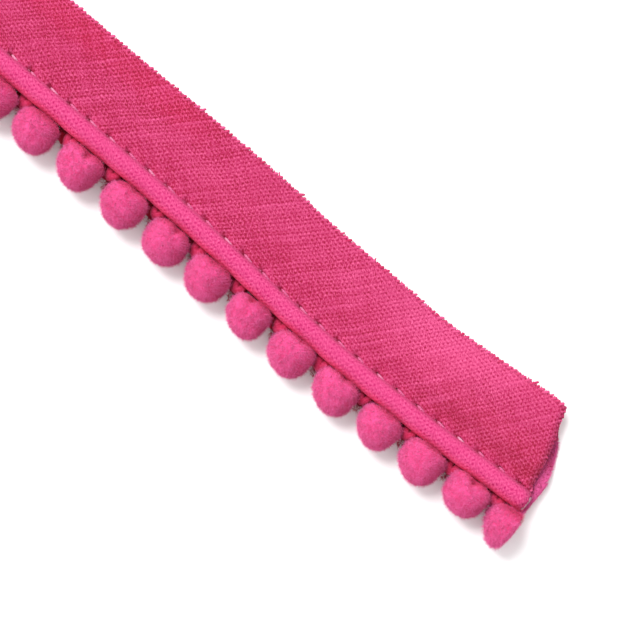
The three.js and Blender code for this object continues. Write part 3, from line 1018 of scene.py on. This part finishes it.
filler = {
    "radius": 0.92,
    "plies": 3,
    "groove": 0.16,  # depth between the plies, as a share of the radius
    "twist": 7.0,  # length of one turn
    "plainShort": 0.15,  # of the plain end
    "short": 1.2,  # of the scissor cut
    "endFibres": 1600,
    "fibreLength": 0.22,
    "fibreWidth": 0.05,
}


# The filler cord: plies twisted together, so its section is a ring of lobes
# that turns steadily along its length. Its ends are rounded in.
def makeFiller(material):
    body = np.linspace(0, 1, 200)
    share = merge([0, 0, 0.0005], body[1:-1], [0.9995, 1, 1])[:, None]
    close = merge([0.02, 0.6, 0.94], np.ones(len(body) - 2), [0.94, 0.6, 0.02])[:, None]
    along = -cutLine + filler["plainShort"] + share * (2 * cutLine - filler["plainShort"] - filler["short"])
    turn = np.linspace(0, 2 * np.pi, 36, endpoint=False)
    twist = turn - 2 * np.pi * along / filler["twist"]
    lobes = np.abs(np.cos(twist * filler["plies"] / 2)) ** 0.7
    radius = filler["radius"] * (1 - filler["groove"] + filler["groove"] * lobes) * close
    bulge = (1 - close) * 0.12 * np.where(share < 0.5, -1, 1)
    y = lieAt(along, "seam") - cloth["pipingInset"] + radius * np.cos(turn)
    z = pipingHeight + radius * np.sin(turn)
    cord = ringSurfaces(np.stack([along + bulge + 0 * radius, y, z], -1)[None])
    threads = np.stack([twist * 3, along * 0.5 + close * 3 + 0 * twist], -1)

    # short cut fibres over both ends
    chance = np.random.default_rng(17)
    count = filler["endFibres"]
    side = np.where(np.arange(count) % 2, 1, -1)
    out = filler["radius"] * 0.95 * np.sqrt(chance.random(count))
    angle = chance.uniform(0, 2 * np.pi, count)
    end = np.where(side > 0, along[-1] + 0.08, along[0] - 0.08) - side * 0.1 * out**2
    y = out * np.cos(angle) - cloth["pipingInset"]
    roots = fromSeam(end, y, pipingHeight + out * np.sin(angle))
    heading = draws(count, (chance.uniform, 0.3, 1), (chance.normal, 0, 0.45), (chance.normal, 0, 0.45))
    heading[:, 0] *= side
    step = heading * filler["fibreLength"]
    fibres = hairSurfaces(roots - 0.3 * step, roots + step, filler["fibreWidth"], chance)
    fibreThreads = np.stack([angle * 3, out], -1).repeat(4, axis=0)
    threads = merge(threads.reshape(-1, 2), fibreThreads)
    return makePiece("filler_cord_yarn", [cord, fibres], material, "thread", threads=threads, flat=True)


pompoms = {
    "count": 18,
    "radius": 2.65,
    "height": 2.62,  # middle of a pompom above the surface
    "inset": 5.14,
    "follow": 0.72,  # how much of the seam's drift their row follows
    "shift": -0.22,  # of the row, towards the plain end
    "lean": 0.45,  # of the hanging side, towards the scissored end
    "cutInset": 1.3,
    "cutShort": 0.3,  # the cut itself stops this far inside the cut line
    "cutLean": 1.1,
    "cutDrop": 0.3,
    "cutFibres": 1.35,  # how much longer the cut one's fibres are
    "clearance": 0.06,
    "lumps": 0.18,
    "smallLumps": (0.07, 0.04),
    "shoulders": 0.09,  # spread of the pile beside the piping
    "parting": 0.7,  # depth
    "softness": 0.38,  # of the turn into its flat and its hollow
    "cutSoftness": 0.6,  # and into the cut
    # painted shade on the side that lies in the piping's shadow
    "pipingShade": 0.75,  # how red the side to the piping looks, and from where
    "pipingShadeFrom": (0.38, 0.85),
    # painted shade on the side away from the light
    "leeShade": 0.34,  # how deep the side to the scissored end looks, and from where
    "leeShadeFrom": (0.3, 0.9),
    "grid": 24,
    "fibres": 6700,
    "fibreLength": 0.48,
    "fibreWidth": 0.049,
    "fibreSpread": 0.7,
}
far = 99.0  # past anything that a pompom reaches


# The least of several distances, rounded over where they meet.
def softLeast(distances, softness):
    stack = np.stack(distances)
    least = stack.min(0)
    return least - softness * np.log(np.exp(-(stack - least) / softness).sum(0))


# Distance in a direction to a plane: the room to it, over how much of each
# step in that direction goes towards it.
def reachToPlane(room, towards):
    return np.where(towards > 0, room / np.maximum(towards, 1e-4), far)


# Distance from a pompom's middle to the hollow that the piping presses into
# it: the piping's round with its clearance, and straight up above its widest.
def reachToPiping(direction, middle):
    hollow = cloth["pipingRadius"] + pompoms["clearance"]
    side = -seamY(middle) - cloth["pipingInset"]
    above = pipingHeight - pompoms["height"]
    straight = reachToPlane(side - hollow, direction[:, 1])
    flat = np.maximum(np.hypot(direction[:, 1], direction[:, 2]), 1e-4)
    nearest = (side * direction[:, 1] + above * direction[:, 2]) / flat
    inside = hollow**2 - (side**2 + above**2 - nearest**2)
    onRound = (nearest - np.sqrt(np.maximum(inside, 0))) / flat
    reach = np.where(direction[:, 2] * straight >= above, straight, np.where(inside > 0, onRound, far))
    return np.where(direction[:, 1] > 0, reach, far)


# A pompom's surface in given directions: a lumpy ball, flattened where it
# lies, hollowed by the piping, parted where its tie draws it in, and cut flat
# at the scissored end. Gives the painted shade of each point too: redder in
# the parting and on the side under the piping.
def pompomPoints(direction, number, middle):
    chance = np.random.default_rng(100 + number)
    x, y, z = direction.T
    parting = chance.uniform(0.0, 1.0) ** 3 * (number > 0)
    size = pompoms["radius"] * chance.uniform(0.97, 1.03)
    shoulder = 2 * np.abs(x) * np.maximum(y, 0)
    size = size * (1 + pompoms["shoulders"] * chance.uniform(0.5, 1.3) * shoulder)
    small, least = pompoms["smallLumps"]
    lumps = pompoms["lumps"] * ripple(direction, 1.6, 200 + number)
    lumps += small * ripple(direction, 0.5, 300 + number) + least * ripple(direction, 0.22, 400 + number)
    facing = np.clip(y, 0, 1)
    split = bell(x + 0.12 * chance.normal(), 0.05 + 0.22 * facing)
    split *= smoothStep(facing, 0.25, 0.75) * smoothStep(z, -0.2, 0.3)
    distances = [size + lumps, reachToPlane(middle[2], -z), reachToPiping(direction, middle)]
    radius = softLeast(distances, pompoms["softness"])
    if number == 0:
        toCut = reachToPlane(pompoms["cutInset"] - pompoms["cutShort"], x)
        radius = softLeast([radius, toCut], pompoms["cutSoftness"])
    radius = radius - pompoms["parting"] * parting * split
    points = middle + direction * radius[:, None]
    hanging = np.clip(-y, 0, 1)
    points[:, 0] += pompoms["lean"] * hanging**2 * (number > 0)
    points[:, 0] += pompoms["cutLean"] * hanging * np.clip(-x, 0, 1) * (number == 0)
    # painted shade on the side that lies in the piping's shadow
    pipingShade = pompoms["pipingShade"] * smoothStep(y, *pompoms["pipingShadeFrom"])
    return points, np.maximum(split * parting, pipingShade)


# A pompom in place of its CAD body: its surface, and fibres that stand out of
# it at random angles. Gives its place along the trim.
def makePompom(number, ball, material):
    name, cut = f"pompom_{number + 1:02d}", number == 0
    low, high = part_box(name)
    along = (low[0] + high[0]) / 2 / mm + pompoms["shift"]
    if cut:
        along = cutLine - pompoms["cutInset"]
    level = pompoms["follow"] * lieAt(along, "seam") + (1 - pompoms["follow"]) * lie["seam"][0]
    level -= pompoms["cutDrop"] * cut
    middle = np.array([along, level - pompoms["inset"], pompoms["height"]])
    directions, quads = ball
    points, parting = pompomPoints(directions, number, middle)
    chance = np.random.default_rng(500 + number)
    count = pompoms["fibres"]
    out = unit(chance.normal(size=(count, 3)))
    roots, hairShade = pompomPoints(out, number, middle)
    heading = out * 0.8 + chance.normal(0, pompoms["fibreSpread"], (count, 3))
    heading = unit(heading + out * np.maximum(0.25 - (heading * out).sum(1, keepdims=True), 0))
    length = pompoms["fibreLength"] * chance.uniform(0.45, 1.25, count) * (pompoms["cutFibres"] if cut else 1)
    # short against the piping, and none of their tips is inside it
    underPiping = (out[:, 1] > 0.55) & (out[:, 2] < 0.2)
    length = np.where(underPiping, length * 0.3, length)
    tips = roots + heading * length[:, None]
    piping = np.stack([lieAt(tips[:, 0], "seam") - cloth["pipingInset"], np.full(count, pipingHeight)], -1)
    away = tips[:, 1:] - piping
    gap = np.linalg.norm(away, axis=1, keepdims=True)
    tips[:, 1:] = piping + away * np.maximum(1, (cloth["pipingRadius"] + 0.02) / gap)
    tips[:, 2] = np.maximum(tips[:, 2], 0.02)
    if cut:
        tips[:, 0] = np.minimum(tips[:, 0], cutLine - 0.05)
    roots = roots - heading * 0.08
    roots[:, 2] = np.maximum(roots[:, 2], 0.02)
    fibres = hairSurfaces(roots, tips, pompoms["fibreWidth"], chance)
    # paler towards the fibres' tips, partly as pile is and partly painted light on their shaded sides
    tipTone = np.zeros((count, 4))
    tipTone[:, :3] = chance.uniform(0, 0.5, (count, 1))
    tipTone[:, 3] = chance.uniform(0.2, 1.0, count)
    # painted shade, deeper, on the side towards the scissored end, away from the
    # light, but not on the cut one
    leeShade = [smoothStep(way[:, 0], *pompoms["leeShadeFrom"]) for way in (directions, out.repeat(4, axis=0))]
    looks = {
        "tip": merge(np.zeros(len(points)), tipTone.ravel()),
        "parting": merge(parting, hairShade.repeat(4)),
        "leeShade": pompoms["leeShade"] * (not cut) * merge(*leeShade),
    }
    parts = [(points, [quads]), fibres]
    piece = makePiece(f"pompom_pile_{number + 1:02d}", parts, material, "pile", flat=True, **looks)
    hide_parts(name)
    return along


print("materials")
clothFinish = clothMaterial(plainWeaveGroup())
threadFinish = threadMaterial()
pileFinish = pileMaterial()

print("cloth strip")
strip = makeCloth(clothFinish)
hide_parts("bias_strip")
ends = makeYarnEnds(yarnEndMaterial())
stitches = makeStitches(threadFinish)

print("filler cord")
cord = makeFiller(fillerMaterial())
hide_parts("filler_cord")

print("pompoms")
ball = ballSurface(pompoms["grid"])
places = np.array([makePompom(number, ball, pileFinish) for number in range(pompoms["count"])])

print("braid")
knit = makeBraid(braidMaterial(), places)
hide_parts("pompom_braid")


# Studio: a white floor, one broad soft light from the plain end and the
# raw-edge side, and an even white fill. Metres and degrees.
studio = {
    "floorSize": 3.0,
    "sunBearing": (-0.93, 0.36),
    "sunHeight": 50.0,
    "sunAngle": 36.0,
    "sunStrength": 3.7,
    "fill": 0.9,
    "roll": 39.7,
    "cameraHeight": 0.35,
    "clothHeight": 0.002,  # where the frame has its width
    "sensorWidth": 36.0,  # in millimetres
    "frameWidth": 0.0753,
    "lookAt": (0.02465, -0.00114),
}


def makeStudio():
    half = studio["floorSize"] / 2
    mesh = bpy.data.meshes.new("floor")
    corners = [(-half, -half, 0), (half, -half, 0), (half, half, 0), (-half, half, 0)]
    mesh.from_pydata(corners, [], [(0, 1, 2, 3)])
    floor = addObject("floor", mesh)
    material, tree = newMaterial("floorWhite", 0.9, 0.0, (1.0, 1.0, 1.0, 1.0))
    setInputs(tree.nodes["Principled BSDF"], {"Base Color": (0.95, 0.95, 0.95, 1), "Specular IOR Level": 0.0})
    mesh.materials.append(material)

    sun = addObject("softLight", bpy.data.lights.new("softLight", "SUN"))
    sun.data.energy = studio["sunStrength"]
    sun.data.angle = math.radians(studio["sunAngle"])
    height = math.radians(studio["sunHeight"])
    bearing = math.atan2(studio["sunBearing"][1], studio["sunBearing"][0])
    sun.rotation_euler = (0, math.pi / 2 - height, bearing)

    world = bpy.data.worlds.new("whiteRoom")
    world.use_nodes = True
    setInputs(world.node_tree.nodes["Background"], {"Color": (1, 1, 1, 1), "Strength": studio["fill"]})
    bpy.context.scene.world = world


# The camera looks straight down, turned so that the trim runs from the upper
# left to the lower right.
def makeCamera():
    camera = addObject("camera", bpy.data.cameras.new("camera"))
    camera.data.sensor_width = studio["sensorWidth"]
    toTrim = studio["cameraHeight"] - studio["clothHeight"]
    camera.data.lens = studio["sensorWidth"] * toTrim / studio["frameWidth"]
    camera.location = (*studio["lookAt"], studio["cameraHeight"])
    camera.rotation_euler = (0, 0, math.radians(studio["roll"]))
    camera.data.clip_start = 0.01
    bpy.context.scene.camera = camera


print("studio")
makeStudio()
makeCamera()
bpy.context.scene.view_settings.view_transform = "Standard"
